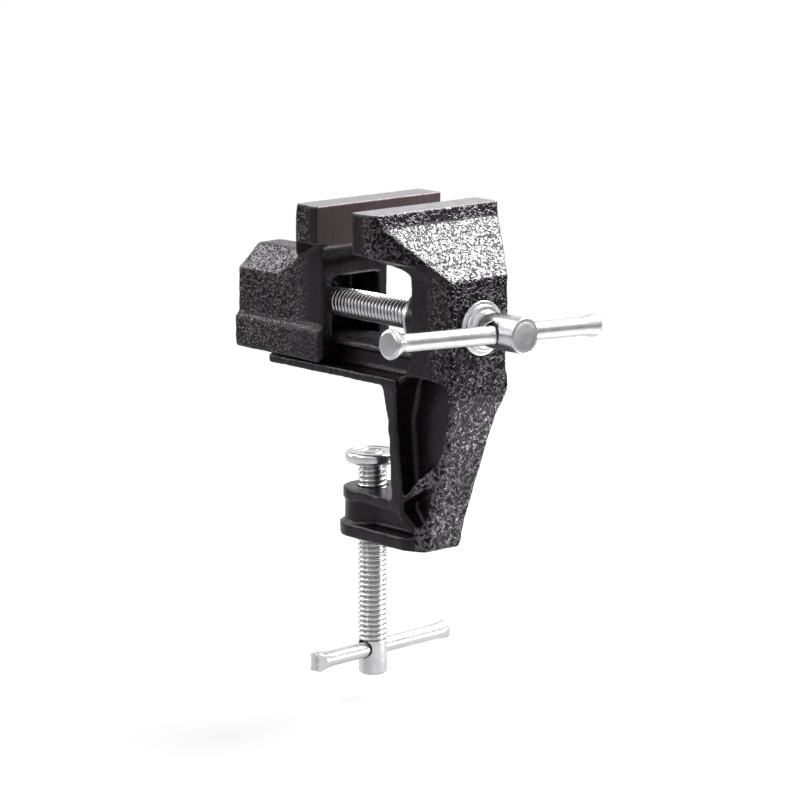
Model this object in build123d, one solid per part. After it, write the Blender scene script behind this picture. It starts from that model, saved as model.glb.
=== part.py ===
from build123d import *
import os

# A small bench vise that clamps over the edge of a table. The fixed jaw, the base plate with its
# guide rail and the bracket that reaches under the table are one iron casting. The sliding jaw is
# a second casting, which wraps the rail and is drawn along it by the lead screw.
#
# Millimetres, +Z up, +Y into the table. The origin is where the clamp screw's axis meets the
# table top, so the base plate's underside is z = 0.

# Fits
shaft_gap = 0.08  # radial, screw in its bore
slide_gap = 0.3  # sliding jaw above and below the rail's head
side_gap = 0.5  # sliding jaw beside the rail's head
seat_gap = 0.05  # washers and pins against what they bear on

# Base plate and guide rail
plate_thick = 2.9
plate_width = 28.48
plate_reach = 34.6  # rear end, behind the clamp screw's axis
plate_corner = 2.0
rail_web_width = 12.4
rail_web_height = 5.7
rail_width = 18.0
rail_head_thick = 2.3
rail_edge = 0.9
rail_foot = 0.8

# Leg and arm of the bracket
table_reach = 20.1  # from the clamp screw's axis to the face that meets the table's edge
leg_root_thick = 6.9  # at the base plate
leg_waist_thick = 4.1
leg_thick = 5.7  # at the ribs
leg_waist_drop = 11.0
leg_waist_width = 23.6
leg_width = 20.9
throat = 36.0  # from the table top down to the arm
arm_flange = 3.6
arm_pocket = 7.4
arm_foot_flange = 4.4
arm_end_radius = 9.3
arm_foot_radius = 10.3
arm_boss_radius = 8.7
web_thick = 9.0

# Column under the fixed jaw, and the flange that runs from it down to the arm
column_back = 11.0  # from the jaw's face to the column's rear
column_depth = 18.6
column_width = 23.46
column_corner = 1.8
flange_rim = 2.75
flange_top = -2.0  # where the upright front turns towards the arm's foot
flange_bend = 15.0
knee_rise = 9.9  # above the arm's underside
knee_lead = 9.6  # ahead of the leg
foot_lead = 7.8
foot_corner = 2.5
foot_width = 13.0
flange_waist_drop = 8.0
flange_waist_width = 17.6
knee_width = 14.6
pocket_top = 5.3
pocket_corners = [1.5, 4.0, 1.0, 4.0, 0.6, 6.0, 2.5, 8.0]  # the upper pocket's, from its front
foot_pocket_corners = [0.4, 1.6, 1.0, 0.6, 1.0]

# Ribs that fan out from the leg's foot, with pockets above, between and behind them
rib_node = 36.3  # below the table top, where the ribs meet the leg
long_rib_root = 1.5  # its upper edge above the node, at the leg
long_rib_mid = 7.8
long_rib_mid_run = 5.1
long_rib_rise = 14.6  # at the front flange
long_rib_under = 6.4  # its lower edge at the front flange
short_rib_drop = 2.3  # its upper edge below the node, at the leg
foot_run = 4.0  # from the leg to the solid foot
foot_rise = 7.8  # above the arm's underside

# Fixed jaw
jaw_width = 50.8
face_lead = 0.4  # the jaw's face stands this far behind the table's edge
jaw_rise = 34.04  # from the lead screw's axis up to the jaws' top
head_land = 10.9  # flat top, front to back
band_drop = 4.0
band_run = 1.5
slope_drop = 19.5  # from the jaws' top to the foot of the sloped front
jaw_face_height = 16.2
head_end_height = 12.8
head_side_land = 9.5
wing_root = 2.8
soffit_run = 8.0
soffit_fall = 1.5
soffit_corner = 4.0

# Lead screw and what holds it in the column
screw_rise = 9.36  # from the rail's top to the lead screw's axis
screw_radius = 4.65
screw_reach = 98.1  # from the column's front to the screw's rear end
screw_chamfer = 0.9
boss_radius = 9.8
boss_length = 5.0
washer_radius = 8.32
washer_thick = 1.25
shoulder_radius = 7.1
shoulder_thick = 1.1
head_radius = 5.49
head_length = 17.2
head_round = 1.2
head_hole_setback = 9.2  # from the head's front end to the handle's hole
head_hole_radius = 3.4
collar_radius = 8.3
collar_thick = 2.4
pin_radius = 1.0
pin_length = 12.6
pin_wall = 0.35

# Handles: bars that slide through the screws
handle_radius = 2.83
handle_left = 46.3
handle_right = 38.8
handle_tilt = 2.69  # degrees below level, towards +X
handle_sag = 0.5  # the bar lies low in its hole
handle_flare = 4.7
handle_flare_radius = 4.5
handle_bulge = 4.4
handle_bulge_radius = 3.55

# Sliding jaw
jaw_opening = 16.05  # between the jaws, as set here
jaw_thick = 10.14
jaw_end_height = 12.0
jaw_mid_height = 13.15
jaw_soffit_width = 24.0
block_front = 11.37  # behind the jaw's face
block_length = 41.88
block_width = 26.66
block_shoulder = 8.04  # above the lead screw's axis
block_top = 15.54
block_top_width = 9.2
neck_setback = 0.78
neck_foot = 14.3  # above the lead screw's axis
neck_corner = 5.0
gusset_top_run = 1.1
gusset_top_drop = 4.0
gusset_run = 14.3
gusset_drop = 18.3
gusset_toe_run = 23.7
gusset_corner = 6.0
skirt_width = 29.7
skirt_top = 12.6
skirt_slope = 2.0
skirt_lead = 0.58
skirt_lift = 1.25  # above the base plate
hollow_top = 9.24  # above the lead screw's axis
hollow_corner = 1.5
nut_front = 23.95
nut_length = 12.0
rear_wall = 4.0
rear_hole_radius = 5.5

# Clamp screw, its pad and its handle
clamp_radius = 4.65
board_thick = 25.0  # the pad's height below the table top
pad_radius = 8.5
pad_thick = 3.6
pad_edge = 0.6
rivet_radius = 3.4
rivet_thick = 1.2
rivet_recess = 0.2  # the riveted tip lies below the pad's face
rivet_gap = 0.25
neck_radius = 2.5
shank_radius = 4.5
clamp_thread = 56.9
clamp_shank = 11.0
clamp_hole_drop = 2.6  # from the thread's end to the handle's hole
clamp_hole_radius = 3.0
clamp_chamfer = 0.8
clamp_handle_radius = 2.5
clamp_handle_left = 26.0
clamp_handle_right = 32.8
clamp_handle_turn = 4.0  # degrees about the screw
clamp_handle_sag = 0.4
clamp_handle_swage = 6.0
clamp_handle_swage_radius = 3.5
clamp_handle_tip = 1.6
clamp_handle_flare = 3.5
clamp_handle_flare_radius = 3.1

# Heights
rail_under = plate_thick + rail_web_height
rail_top = rail_under + rail_head_thick
screw_z = rail_top + screw_rise
jaw_top = screw_z + jaw_rise
arm_under = -throat - arm_flange
arm_foot_top = arm_under - arm_pocket
arm_bottom = arm_foot_top - arm_foot_flange

# Places along Y
table_face = -table_reach
leg_front = table_face - leg_thick
leg_root_front = table_face - leg_root_thick
jaw_face = table_face + face_lead
column_rear = jaw_face - column_back
column_front = column_rear - column_depth
sliding_face = jaw_face + jaw_opening

# Half widths
jaw_half = jaw_width / 2
column_half = column_width / 2
web_half = web_thick / 2
rail_half = rail_width / 2
block_half = block_width / 2

leg_waist = (table_face - leg_waist_thick, -leg_waist_drop)
leg_middle = table_face - leg_waist_thick / 2

# The bracket's front line, from the column down to the foot
flange_turn = (column_front, flange_top)
knee = (leg_front - knee_lead, arm_bottom + knee_rise)
foot = (leg_front - foot_lead, arm_bottom)


def outline(points, radius=0):
    # A closed face. radius is one number for every corner, or a list with one number for each.
    radii = radius if isinstance(radius, list) else [radius] * len(points)
    if any(radii):
        return make_face(FilletPolyline(*points, radius=radii, close=True))
    return make_face(Polyline(*points, close=True))


def side(points, half, radius=0):
    # A (y, z) outline, carried to the same distance either side of the middle plane.
    return extrude(Plane.YZ * outline(points, radius), amount=half, both=True)


def plan(points, low, high, radius=0):
    # An (x, y) outline between two heights.
    return extrude(Plane.XY.offset(low) * outline(points, radius), amount=high - low)


def front(points, near, far, radius=0):
    # An (x, z) outline between two places along Y.
    return extrude(Plane.XZ.offset(-far) * outline(points, radius), amount=far - near)


def mirrored(points):
    # The right-hand half of a shape, and its reflection in the middle plane.
    return points + [(-across, other) for across, other in reversed(points)]


def block(half, near, far, low, high):
    return side([(near, low), (far, low), (far, high), (near, high)], half)


def along_y(radius, near, far, z=0):
    place = Plane(origin=(0, near, z), z_dir=(0, 1, 0))
    return extrude(place * Circle(radius), amount=far - near)


def upright(radius, low, high):
    return extrude(Plane.XY.offset(low) * Circle(radius), amount=high - low)


def beside(a, b, share, inset):
    # The point a share of the way from a to b, moved to the left of that direction.
    a, b = Vector(*a), Vector(*b)
    way = (b - a).normalized()
    point = a + (b - a) * share + Vector(-way.Y, way.X) * inset
    return (point.X, point.Y)


def turned(points, radius=0):
    # A (radius, height) outline turned about its own axis.
    return revolve(Plane.XZ * outline(points, radius), axis=Axis.Z)


# The frame: fixed jaw, column, bracket, base plate and rail in one casting

def fixed_jaw_head():
    band = (jaw_face - head_land - band_run, jaw_top - band_drop)
    slope_foot = (column_front, jaw_top - slope_drop)
    soffit = jaw_top - jaw_face_height
    profile = [
        (jaw_face, jaw_top),
        (jaw_face - head_land, jaw_top),
        band,
        slope_foot,
        (column_front, screw_z),
        (column_rear, screw_z),
        (column_rear, soffit - soffit_fall),
        (jaw_face - soffit_run, soffit - soffit_fall),
        (jaw_face, soffit),
    ]
    corners = [0, 0, 0, 0, 0, 0, soffit_corner * 0.7, 0, 0]
    head = side(profile, jaw_half, corners)
    taper = [
        (jaw_half, jaw_face),
        (jaw_half, jaw_face - head_side_land),
        (column_half, column_front),
    ]
    head &= plan(mirrored(taper), screw_z, jaw_top)
    wings = [
        (jaw_half, jaw_top),
        (jaw_half, jaw_top - head_end_height),
        (column_half + wing_root, soffit),
        (column_half, jaw_top - slope_drop),
        (column_half, screw_z),
    ]
    return head & front(mirrored(wings), column_front, jaw_face)


def column():
    ceiling = pocket_top - flange_rim
    profile = [
        (column_front, jaw_top - slope_drop),
        (column_front, ceiling),
        (column_rear, pocket_top),
        (column_rear, jaw_top - slope_drop),
    ]
    upright_column = side(profile, column_half)
    edges = upright_column.edges().filter_by(Axis.Z).group_by(Axis.Y)[0]
    upright_column = fillet(edges, column_corner)
    boss = along_y(boss_radius, column_rear - boss_length, column_rear + boss_length, screw_z)
    return upright_column + boss


def base_plate():
    half = plate_width / 2
    front_end = leg_root_front
    corners = mirrored([(half, plate_reach), (half, front_end)])
    return plan(corners, 0, plate_thick, [plate_corner, 0, 0, plate_corner])


def column_root():
    # Fills the corner between the base plate and the column's rear.
    profile = [
        (column_rear - flange_rim, pocket_top),
        (column_rear - flange_rim, rail_under),
        (column_rear, rail_under),
        (column_rear + flange_rim, plate_thick + flange_rim / 2),
        (leg_root_front + flange_rim, plate_thick),
        (leg_root_front, plate_thick / 2),
        (column_rear, pocket_top),
    ]
    return side(profile, column_half)


def rail():
    web = block(rail_web_width / 2, column_rear, plate_reach, plate_thick, rail_under)
    head = front(
        mirrored([(rail_half, rail_under), (rail_half, rail_top)]),
        column_rear,
        plate_reach,
        [0, rail_edge, rail_edge, 0],
    )
    foot_half = rail_web_width / 2 + rail_foot
    fillet_bar = front(
        mirrored([
            (foot_half, plate_thick),
            (rail_web_width / 2, plate_thick + rail_foot),
        ]),
        column_rear,
        plate_reach,
    )
    return web + head + fillet_bar


def leg():
    root_half = plate_width / 2
    above_ribs = -rib_node + 2 * long_rib_root
    profile = [
        (table_face, plate_thick),
        (leg_root_front, plate_thick),
        (leg_root_front, 0),
        leg_waist,
        (leg_front, -rib_node),
        (leg_front, arm_under),
        (table_face, arm_under),
    ]
    bar = side(profile, root_half)
    width = [
        (root_half, plate_thick),
        (root_half, 0),
        (leg_waist_width / 2, -leg_waist_drop),
        (leg_width / 2, above_ribs),
        (leg_width / 2, arm_under),
    ]
    return bar & front(mirrored(width), leg_root_front, table_face, width_corners(width))


def width_corners(width):
    # Rounds only the inner corners of one half of a width outline.
    bends = [flange_bend / 2 for _ in width[2:-1]]
    inner = [0, 0, *bends, 0]
    return inner + inner[::-1]


def front_flange():
    profile = [
        (column_front, pocket_top),
        flange_turn,
        knee,
        foot,
        (leg_middle, arm_bottom),
        (leg_middle, plate_thick / 2),
        (column_rear, pocket_top),
    ]
    corners = [0, flange_bend, foot_corner, foot_corner, 0, 0, 0]
    body = side(profile, column_half, corners)
    width = [
        (column_half, pocket_top),
        (column_half, 0),
        (flange_waist_width / 2, -flange_waist_drop),
        (knee_width / 2, knee[1]),
        (foot_width / 2, arm_bottom),
    ]
    return body & front(mirrored(width), column_front, leg_middle, width_corners(width))


def flange_share(above_node):
    # How far down the front flange a height above the ribs' node is.
    return (flange_top + rib_node - above_node) / (flange_top - knee[1])


def side_pockets():
    # The pockets in each side of the bracket, in (y, z), each with the radii of its corners.
    above = [
        (column_front + flange_rim, pocket_top - flange_rim),
        (column_rear, pocket_top),
        (leg_root_front, plate_thick / 2),
        leg_waist,
        (leg_front, -rib_node + long_rib_root),
        (leg_front - long_rib_mid_run, -rib_node + long_rib_mid),
        beside(flange_turn, knee, flange_share(long_rib_rise), flange_rim),
        beside(flange_turn, knee, 0, flange_rim),
    ]
    between = [
        (leg_front, -rib_node),
        beside(flange_turn, knee, flange_share(long_rib_under), flange_rim),
        beside(flange_turn, knee, 1, flange_rim),
        (leg_front - foot_run, arm_bottom + foot_rise),
        (leg_front, -rib_node - short_rib_drop),
    ]
    rib_end = leg_front - foot_run * 0.7
    behind = [
        (leg_middle, arm_under),
        (rib_end, arm_foot_top + foot_corner / 2),
        (rib_end, arm_foot_top),
        (table_face, arm_foot_top),
        (table_face, arm_under),
    ]
    return (above, pocket_corners), (between, foot_pocket_corners), (behind, 0)


def long_rib():
    # Between the two pockets. It narrows from the leg's width to the front flange's.
    (above, _), (between, _), _ = side_pockets()
    root = [(leg_middle, -rib_node), (leg_middle, above[4][1])]
    profile = root + above[4:7] + between[1::-1]
    ends = [
        (leg_width / 2, leg_middle),
        (leg_width / 2, leg_front),
        (knee_width / 2, above[6][0]),
    ]
    return side(profile, jaw_half) & plan(mirrored(ends), knee[1], 0)


def toe_taper(low, high):
    # The arm's plan ahead of the leg, where it narrows to the foot.
    ends = [(leg_width / 2, table_face), (leg_width / 2, leg_front), (foot_width / 2, foot[0])]
    return plan(mirrored(ends), low, high)


def arm():
    def tongue(radius, root, low, high):
        sides = mirrored([(radius, 0), (leg_width / 2, root)])
        return plan(sides, low, high) + upright(radius, low, high)

    top = tongue(arm_end_radius, leg_middle, arm_under, -throat)
    bottom = tongue(arm_foot_radius, leg_front, arm_bottom, arm_foot_top)
    boss = upright(arm_boss_radius, arm_foot_top, arm_under)
    web = block(web_half, leg_front - foot_run, 0, arm_foot_top, arm_under)
    return top + bottom + boss + web


def foot_and_short_rib():
    # The solid foot, and the rib that runs up from it to the leg.
    _, (between, _), (behind, _) = side_pockets()
    profile = [
        behind[0],
        (leg_middle, -rib_node),
        between[0],
        between[4],
        between[3],
        knee,
        foot,
        (leg_front, arm_bottom),
        (leg_front, arm_foot_top),
        behind[2],
        behind[1],
    ]
    corners = [0, 0, 0, 0, 0, 0, foot_corner, 0, 0, 0, 0]
    return side(profile, jaw_half, corners) & toe_taper(arm_bottom, -rib_node)


def clamp_frame():
    lower = front_flange() + leg()
    for points, corners in side_pockets():
        pocket = side(points, jaw_half, corners)
        web = block(web_half, column_front, table_face, arm_bottom, pocket_top)
        lower -= pocket - web
    bracket = lower + long_rib() + foot_and_short_rib() + arm()
    casting = fixed_jaw_head() + column() + bracket + base_plate() + column_root() + rail()
    lead_bore = along_y(screw_radius + shaft_gap, column_front - 1, jaw_face, screw_z)
    clamp_bore = upright(clamp_radius + shaft_gap, arm_bottom - 1, -throat + 1)
    return casting - lead_bore - clamp_bore


# The sliding jaw, whose places along Y are counted from its face

def back(distance):
    return sliding_face + distance


def sliding_jaw_plate():
    ends = [
        (jaw_half, jaw_top),
        (jaw_half, jaw_top - jaw_end_height),
        (jaw_soffit_width / 2, jaw_top - jaw_mid_height),
    ]
    return front(mirrored(ends), back(0), back(jaw_thick))


def gusset():
    # The buttress behind the jaw, which narrows from the jaw's width to the block's.
    low = screw_z + block_shoulder
    top_edge = back(jaw_thick + gusset_top_run)
    toe = jaw_top - gusset_top_drop - gusset_drop + gusset_corner / 2
    profile = [
        (back(jaw_thick / 2), jaw_top),
        (back(jaw_thick), jaw_top),
        (top_edge, jaw_top - gusset_top_drop),
        (back(jaw_thick + gusset_run), toe),
        (back(jaw_thick + gusset_toe_run), low),
        (back(block_front + neck_setback), low),
        (back(block_front + neck_setback), jaw_top - jaw_mid_height),
        (back(jaw_thick / 2), jaw_top - jaw_mid_height),
    ]
    corners = [0, 0, 0, gusset_corner * 3, 0, 0, neck_corner * 0.6, 0]
    core = side(profile, block_half, corners)
    wing = side(
        [
            (back(jaw_thick / 2), jaw_top),
            (back(jaw_thick), jaw_top),
            (top_edge, jaw_top - gusset_top_drop),
            (back(jaw_thick + gusset_run), toe),
            (back(jaw_thick), jaw_top - jaw_end_height),
            (back(jaw_thick / 2), jaw_top - jaw_end_height),
        ],
        jaw_half,
    )
    flare = [
        (jaw_half, back(0)),
        (jaw_half, back(jaw_thick)),
        (block_half, back(jaw_thick + gusset_run)),
    ]
    return core + (wing & plan(mirrored(flare), low, jaw_top))


def neck():
    low = screw_z + block_shoulder
    profile = [
        (back(block_front + neck_setback), jaw_top - jaw_mid_height),
        (back(block_front + neck_setback), screw_z + neck_foot),
        (back(block_front), screw_z + neck_foot - neck_setback),
        (back(block_front), low),
        (back(nut_front), low),
        (back(jaw_thick), jaw_top - jaw_mid_height),
    ]
    return side(profile, block_half)


def slide_block():
    low = plate_thick + skirt_lift
    shoulder = screw_z + block_shoulder
    section = [
        (block_half, low),
        (block_half, shoulder),
        (block_top_width / 2, screw_z + block_top),
    ]
    body = front(mirrored(section), back(block_front), back(block_front + block_length))
    body -= block(
        block_half,
        back(block_front),
        back(block_front + neck_setback),
        screw_z + neck_foot,
        jaw_top,
    )
    skirt = [
        (skirt_width / 2, low),
        (skirt_width / 2, skirt_top),
        (block_half, skirt_top + skirt_slope),
    ]
    return body + front(
        mirrored(skirt),
        back(block_front + skirt_lead),
        back(block_front + block_length),
    )


def slide_hollow():
    # What the casting leaves open: the rail's channel, and the room each side of the nut wall.
    near = back(block_front) - 1
    far = back(block_front + block_length)
    channel_half = rail_half + side_gap
    slot_half = rail_web_width / 2 + side_gap
    channel = block(channel_half, near, far + 1, rail_under - slide_gap, rail_top + slide_gap)
    slot = block(slot_half, near, far + 1, 0, rail_under)
    hollow_section = mirrored([
        (channel_half, rail_under),
        (channel_half, screw_z + hollow_top),
    ])
    corners = [0, hollow_corner, hollow_corner, 0]
    ahead = front(hollow_section, near, back(nut_front), corners)
    behind = front(hollow_section, back(nut_front + nut_length), far - rear_wall, corners)
    rear_hole = along_y(rear_hole_radius, far - rear_wall - 1, far + 1, screw_z)
    nut_bore = along_y(screw_radius + shaft_gap, near, far - rear_wall, screw_z)
    return channel + slot + ahead + behind + rear_hole + nut_bore


def sliding_jaw():
    return sliding_jaw_plate() + gusset() + neck() + slide_block() - slide_hollow()


# The lead screw and the pieces that turn with it

def lead_screw():
    washer_face = column_front - seat_gap - washer_thick - seat_gap
    shoulder_face = washer_face - shoulder_thick
    head_end = shoulder_face - head_length
    thread_end = column_front + screw_reach
    section = [
        (0, head_end),
        (head_radius - head_round, head_end),
        (head_radius, head_end + head_round),
        (head_radius, shoulder_face),
        (shoulder_radius, shoulder_face),
        (shoulder_radius, washer_face),
        (screw_radius, washer_face),
        (screw_radius, thread_end - screw_chamfer),
        (screw_radius - screw_chamfer, thread_end),
        (0, thread_end),
    ]
    corners = [0, head_round * 0.9, head_round * 0.9, 0, 0, 0, 0, 0, 0, 0]
    screw = Pos(0, 0, screw_z) * Rot(-90, 0, 0) * turned(section, corners)
    return screw - handle_hole() - pin_hole()


def head_hole_y():
    head_end = column_front - 2 * seat_gap - washer_thick - shoulder_thick - head_length
    return head_end + head_hole_setback


def handle_frame():
    # Along the handle, which leans in the hole and lies low in it.
    return Pos(0, head_hole_y(), screw_z) * Rot(0, handle_tilt, 0)


def handle_hole():
    return handle_frame() * Rot(0, 90, 0) * Cylinder(head_hole_radius, 4 * head_radius)


def pin_y():
    return column_rear + boss_length + 2 * seat_gap + collar_thick + pin_radius + seat_gap


def pin_hole():
    return Pos(0, pin_y(), screw_z) * Cylinder(pin_radius + seat_gap / 2, 4 * screw_radius)


def thrust_washer():
    near = column_front - seat_gap - washer_thick
    ring = along_y(washer_radius, near, near + washer_thick, screw_z)
    return ring - along_y(screw_radius + shaft_gap, near, near + washer_thick, screw_z)


def thrust_collar():
    near = column_rear + boss_length + 2 * seat_gap
    ring = along_y(collar_radius, near, near + collar_thick, screw_z)
    return ring - along_y(screw_radius + shaft_gap, near, near + collar_thick, screw_z)


def collar_pin():
    # A rolled pin, so it is a tube with a slit.
    tube = Cylinder(pin_radius, pin_length) - Cylinder(pin_radius - pin_wall, pin_length)
    slit = Pos(pin_radius, 0, 0) * Box(2 * pin_radius, pin_wall, pin_length)
    return Pos(0, pin_y(), screw_z) * (tube - slit)


def lead_handle():
    section = [
        (0, -handle_left),
        (handle_flare_radius - handle_radius / 4, -handle_left),
        (handle_flare_radius, -handle_left + handle_radius / 4),
        (handle_flare_radius, -handle_left + handle_radius / 2),
        (handle_radius, -handle_left + handle_flare),
        (handle_radius, handle_right - handle_bulge),
        (handle_bulge_radius, handle_right - handle_bulge / 2),
        (handle_bulge_radius, handle_right - handle_bulge / 4),
        (handle_bulge_radius - handle_bulge / 4, handle_right),
        (0, handle_right),
    ]
    return handle_frame() * Pos(0, 0, -handle_sag) * Rot(0, 90, 0) * turned(section)


# The clamp screw and the pieces that it carries

def clamp_places():
    pad_top = -board_thick
    pad_bottom = pad_top - pad_thick
    thread_end = pad_bottom - seat_gap - clamp_thread
    shank_end = thread_end - clamp_shank
    return pad_top, pad_bottom, thread_end, shank_end


def clamp_screw():
    pad_top, pad_bottom, thread_end, shank_end = clamp_places()
    rivet_top = pad_top - rivet_recess
    section = [
        (0, rivet_top),
        (rivet_radius, rivet_top),
        (rivet_radius, rivet_top - rivet_thick),
        (neck_radius, rivet_top - rivet_thick),
        (neck_radius, pad_bottom - seat_gap),
        (clamp_radius - clamp_chamfer, pad_bottom - seat_gap),
        (clamp_radius, pad_bottom - seat_gap - clamp_chamfer),
        (clamp_radius, thread_end),
        (shank_radius, thread_end),
        (shank_radius, shank_end + clamp_chamfer),
        (shank_radius - clamp_chamfer, shank_end),
        (0, shank_end),
    ]
    screw = turned(section)
    hole = clamp_handle_frame() * Rot(0, 90, 0) * Cylinder(clamp_hole_radius, 4 * shank_radius)
    return screw - hole


def clamp_handle_frame():
    thread_end = clamp_places()[2]
    height = thread_end - clamp_hole_drop
    return Pos(0, 0, height) * Rot(0, 0, clamp_handle_turn)


def clamp_pad():
    pad_top, pad_bottom = clamp_places()[:2]
    recess_floor = pad_top - rivet_recess - rivet_thick - rivet_gap
    section = [
        (neck_radius + rivet_gap, pad_bottom),
        (pad_radius - pad_edge, pad_bottom),
        (pad_radius, pad_bottom + pad_edge),
        (pad_radius, pad_top - pad_edge),
        (pad_radius - pad_edge, pad_top),
        (rivet_radius + rivet_gap, pad_top),
        (rivet_radius + rivet_gap, recess_floor),
        (neck_radius + rivet_gap, recess_floor),
    ]
    return turned(section)


def clamp_handle():
    section = [
        (0, -clamp_handle_left),
        (clamp_handle_swage_radius, -clamp_handle_left),
        (clamp_handle_radius, -clamp_handle_left + clamp_handle_swage),
        (clamp_handle_radius, clamp_handle_right - clamp_handle_flare),
        (clamp_handle_flare_radius, clamp_handle_right),
        (0, clamp_handle_right),
    ]
    bar = Rot(0, 90, 0) * turned(section)
    # The left end is pressed to a blunt wedge.
    flat = [
        (-clamp_handle_left, clamp_handle_tip),
        (-clamp_handle_left + clamp_handle_swage, clamp_handle_swage_radius),
        (-clamp_handle_left, clamp_handle_swage_radius),
    ]
    depth = 2 * clamp_handle_swage_radius
    for cut in (flat, [(x, -y) for x, y in flat]):
        bar -= plan(cut, -depth, depth)
    return clamp_handle_frame() * Pos(0, 0, -clamp_handle_sag) * bar


nodes = {
    "clamp_frame": clamp_frame,
    "sliding_jaw": sliding_jaw,
    "lead_screw": lead_screw,
    "thrust_washer": thrust_washer,
    "thrust_collar": thrust_collar,
    "collar_pin": collar_pin,
    "lead_handle": lead_handle,
    "clamp_screw": clamp_screw,
    "clamp_pad": clamp_pad,
    "clamp_handle": clamp_handle,
}

os.makedirs("parts", exist_ok=True)
for node, make in nodes.items():
    export_step(make(), f"parts/{node}.step")
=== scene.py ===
import math

import bmesh
import bpy
import numpy as np
from mathutils import Matrix, Vector, noise


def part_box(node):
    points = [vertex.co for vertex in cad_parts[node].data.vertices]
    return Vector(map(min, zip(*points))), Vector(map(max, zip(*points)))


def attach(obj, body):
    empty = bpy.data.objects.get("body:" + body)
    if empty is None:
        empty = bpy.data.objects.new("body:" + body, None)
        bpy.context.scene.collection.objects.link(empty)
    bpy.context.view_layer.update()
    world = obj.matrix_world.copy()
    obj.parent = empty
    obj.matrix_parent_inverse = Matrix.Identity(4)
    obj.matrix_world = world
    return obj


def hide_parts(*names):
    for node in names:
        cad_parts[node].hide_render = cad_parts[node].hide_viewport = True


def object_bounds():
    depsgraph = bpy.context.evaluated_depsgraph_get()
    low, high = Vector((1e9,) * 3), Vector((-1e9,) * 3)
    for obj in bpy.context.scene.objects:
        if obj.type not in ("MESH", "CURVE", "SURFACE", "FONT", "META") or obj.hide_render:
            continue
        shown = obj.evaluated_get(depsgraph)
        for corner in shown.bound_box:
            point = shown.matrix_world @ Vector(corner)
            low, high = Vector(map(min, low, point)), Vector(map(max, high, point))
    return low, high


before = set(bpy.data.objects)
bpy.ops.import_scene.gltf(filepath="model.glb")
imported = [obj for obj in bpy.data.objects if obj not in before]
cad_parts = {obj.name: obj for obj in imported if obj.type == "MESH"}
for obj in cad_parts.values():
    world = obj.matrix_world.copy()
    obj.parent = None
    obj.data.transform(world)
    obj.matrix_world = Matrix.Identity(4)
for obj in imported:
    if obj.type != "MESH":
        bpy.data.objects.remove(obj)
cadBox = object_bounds()
mm = 0.001

# Camera: the photograph's own viewpoint, a long lens a little over a metre away
view = {
    "azimuth": -41.54,
    "elevation": 11.06,
    "distance": 1.16186,
    "target": (-0.00335, -0.01673, -0.0062),
    "lens": 170.18,
    "sensor": 36.0,
    "clip": (0.01, 20),
}


def towards(azimuth, elevation):
    across = math.cos(math.radians(elevation))
    return Vector((
        math.sin(math.radians(azimuth)) * across,
        -math.cos(math.radians(azimuth)) * across,
        math.sin(math.radians(elevation)),
    ))


def placeObject(name, data):
    made = bpy.data.objects.new(name, data)
    bpy.context.scene.collection.objects.link(made)
    return made


def addCamera():
    lens = bpy.data.cameras.new("camera")
    lens.lens = view["lens"]
    lens.sensor_width = view["sensor"]
    lens.clip_start, lens.clip_end = view["clip"]
    camera = placeObject("camera", lens)
    back = towards(view["azimuth"], view["elevation"])
    camera.location = Vector(view["target"]) + back * view["distance"]
    camera.rotation_euler = (-back).to_track_quat("-Z", "Y").to_euler()
    bpy.context.scene.camera = camera


addCamera()
print("camera placed")


# Node trees: a socket that does arithmetic, and one method that makes every other node

class Signal:
    def __init__(self, kit, socket):
        self.kit = kit
        self.socket = socket

    def maths(self, operation, *inputs):
        return self.kit.node("ShaderNodeMath", {"operation": operation}, dict(enumerate(inputs)))

    def __add__(self, other):
        return self.maths("ADD", self, other)

    def __radd__(self, other):
        return self.maths("ADD", other, self)

    def __sub__(self, other):
        return self.maths("SUBTRACT", self, other)

    def __rsub__(self, other):
        return self.maths("SUBTRACT", other, self)

    def __mul__(self, other):
        return self.maths("MULTIPLY", self, other)

    def __abs__(self):
        return self.maths("ABSOLUTE", self)

    def smooth(self, low, high):
        return self.kit.node(
            "ShaderNodeMapRange",
            {"interpolation_type": "SMOOTHSTEP"},
            {"Value": self, "From Min": low, "From Max": high},
        )


class NodeKit:
    def __init__(self, tree):
        self.tree = tree

    def feed(self, socket, value):
        if isinstance(value, Signal):
            self.tree.links.new(value.socket, socket)
        else:
            socket.default_value = value

    def node(self, kind, settings=None, inputs=None, output=0):
        made = self.tree.nodes.new(kind)
        for setting, value in (settings or {}).items():
            setattr(made, setting, value)
        for socket, value in (inputs or {}).items():
            self.feed(made.inputs[socket], value)
        return Signal(self, made.outputs[output])

    def axes(self, place):
        split = self.node("ShaderNodeSeparateXYZ", None, {0: place}).socket.node
        return [Signal(self, split.outputs[axis]) for axis in range(3)]

    def ray(self, name):
        return self.node("ShaderNodeLightPath", output=name)

    def white(self, kind, strength):
        return self.node(kind, None, {"Color": (1, 1, 1, 1), "Strength": strength})

    def mixShaders(self, share, first, second):
        return self.node("ShaderNodeMixShader", None, {0: share, 1: first, 2: second})


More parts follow.
